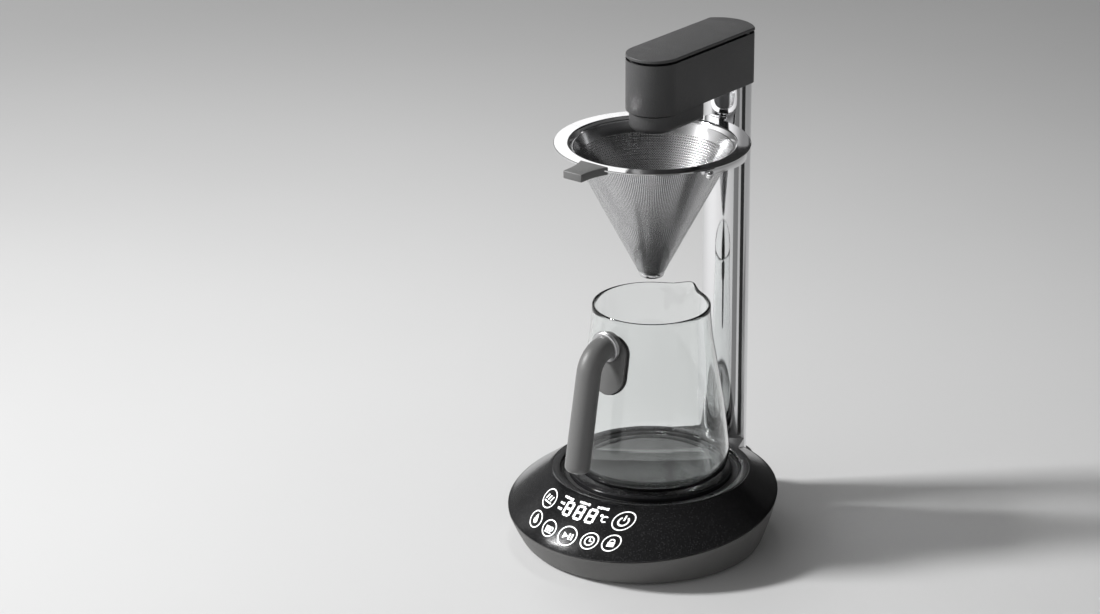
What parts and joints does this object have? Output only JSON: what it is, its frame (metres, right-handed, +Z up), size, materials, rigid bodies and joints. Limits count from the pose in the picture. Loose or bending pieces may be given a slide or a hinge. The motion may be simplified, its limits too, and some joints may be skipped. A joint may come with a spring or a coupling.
{
  "type": "electric pour-over coffee brewer",
  "caption": "Drip brewer with a round heated base, an oval column, an overhanging water head, a hanging metal cone filter and a glass carafe with a side grip.",
  "frame": {"origin": "on the table, on the carafe's axis, which is also the middle of the base's footprint", "axes": "+Z up, +Y to the rear towards the column, +X to the right-hand side; the controls, the carafe's grip and the filter's tab face -Y"},
  "size_m": [0.2, 0.2182, 0.3723],
  "materials": {
    "housing_grey": "fine moulded texture, matte",
    "gloss_black": "high gloss",
    "collar_black": "satin",
    "plate_black": "smooth non-stick coating, semi gloss",
    "black_silicone": "matte",
    "hose_silicone": "satin, translucent grey",
    "screw_steel": "satin",
    "heater_aluminium": "as cast",
    "inner_nylon": "moulded",
    "circuit_board": "solder mask",
    "pin_brass": "plated",
    "column_chrome": "mirror polish",
    "polished_steel": "polished",
    "perforated_steel": "bright, finely perforated",
    "head_grey": "soft-touch matte",
    "grip_grey": "soft-touch matte",
    "clear_glass": "clear blown borosilicate"
  },
  "bodies": {
    "base": {"lower_housing": "housing_grey", "bottom_cover": "housing_grey", "rubber_feet": "black_silicone", "bottom_screws": "screw_steel", "top_shell": "gloss_black", "column_fairing": "gloss_black", "well_collar": "collar_black", "plate_seal": "black_silicone", "hot_plate": "plate_black", "plate_retainer": "inner_nylon", "retainer_screws": "screw_steel", "heat_spreader": "heater_aluminium", "heater_ring": "heater_aluminium", "flow_tube": "heater_aluminium", "thermostat": "inner_nylon", "thermal_fuse": "inner_nylon", "tank_body": "inner_nylon", "tank_seal": "black_silicone", "tank_cover": "inner_nylon", "column_socket": "inner_nylon", "column_lower_seal": "black_silicone", "pump_housing": "inner_nylon", "pump_feet": "black_silicone", "pump_cover": "inner_nylon", "pump_motor": "screw_steel", "suction_hose": "hose_silicone", "pressure_hose": "hose_silicone", "riser_hose": "hose_silicone", "control_board": "circuit_board", "touch_panel": "circuit_board", "display_module": "inner_nylon", "power_inlet": "collar_black", "inlet_pins": "pin_brass", "column_tube": "column_chrome", "riser_tube": "screw_steel", "head_mount": "inner_nylon", "column_upper_seal": "black_silicone", "head_housing": "head_grey", "head_screws": "screw_steel", "nozzle_housing": "head_grey", "shower_plate": "polished_steel", "nozzle_chamber": "inner_nylon", "filter_carrier": "column_chrome", "carrier_screws": "screw_steel", "carrier_nut_plate": "screw_steel", "carrier_studs": "column_chrome"},
    "impeller": {"pump_impeller": "inner_nylon"},
    "filter": {"filter_flange": "polished_steel", "filter_tab": "grip_grey", "outer_cone": "perforated_steel", "inner_cone": "perforated_steel", "filter_tip": "polished_steel"},
    "carafe": {"carafe_glass": "clear_glass", "pad_gasket": "hose_silicone", "handle_pad": "grip_grey", "handle_collar": "polished_steel", "carafe_handle": "grip_grey"},
    "lid": {"head_lid": "head_grey", "lid_seal": "black_silicone"}
  },
  "joints": [
    {"name": "carafe_draw", "type": "slide", "parent": "base", "child": "carafe", "axis": [0, -1, 0], "range_m": [0, 0.2]},
    {"name": "filter_draw", "type": "slide", "parent": "base", "child": "filter", "axis": [0, -1, 0], "range_m": [0, 0.16]},
    {"name": "lid_lift", "type": "slide", "parent": "base", "child": "lid", "axis": [0, 0, 1], "range_m": [0, 0.08]},
    {"name": "impeller_spin", "type": "hinge", "parent": "base", "child": "impeller", "pos_m": [-0.038, -0.042, 0.012], "axis": [0, 0, 1], "continuous": true}
  ]
}
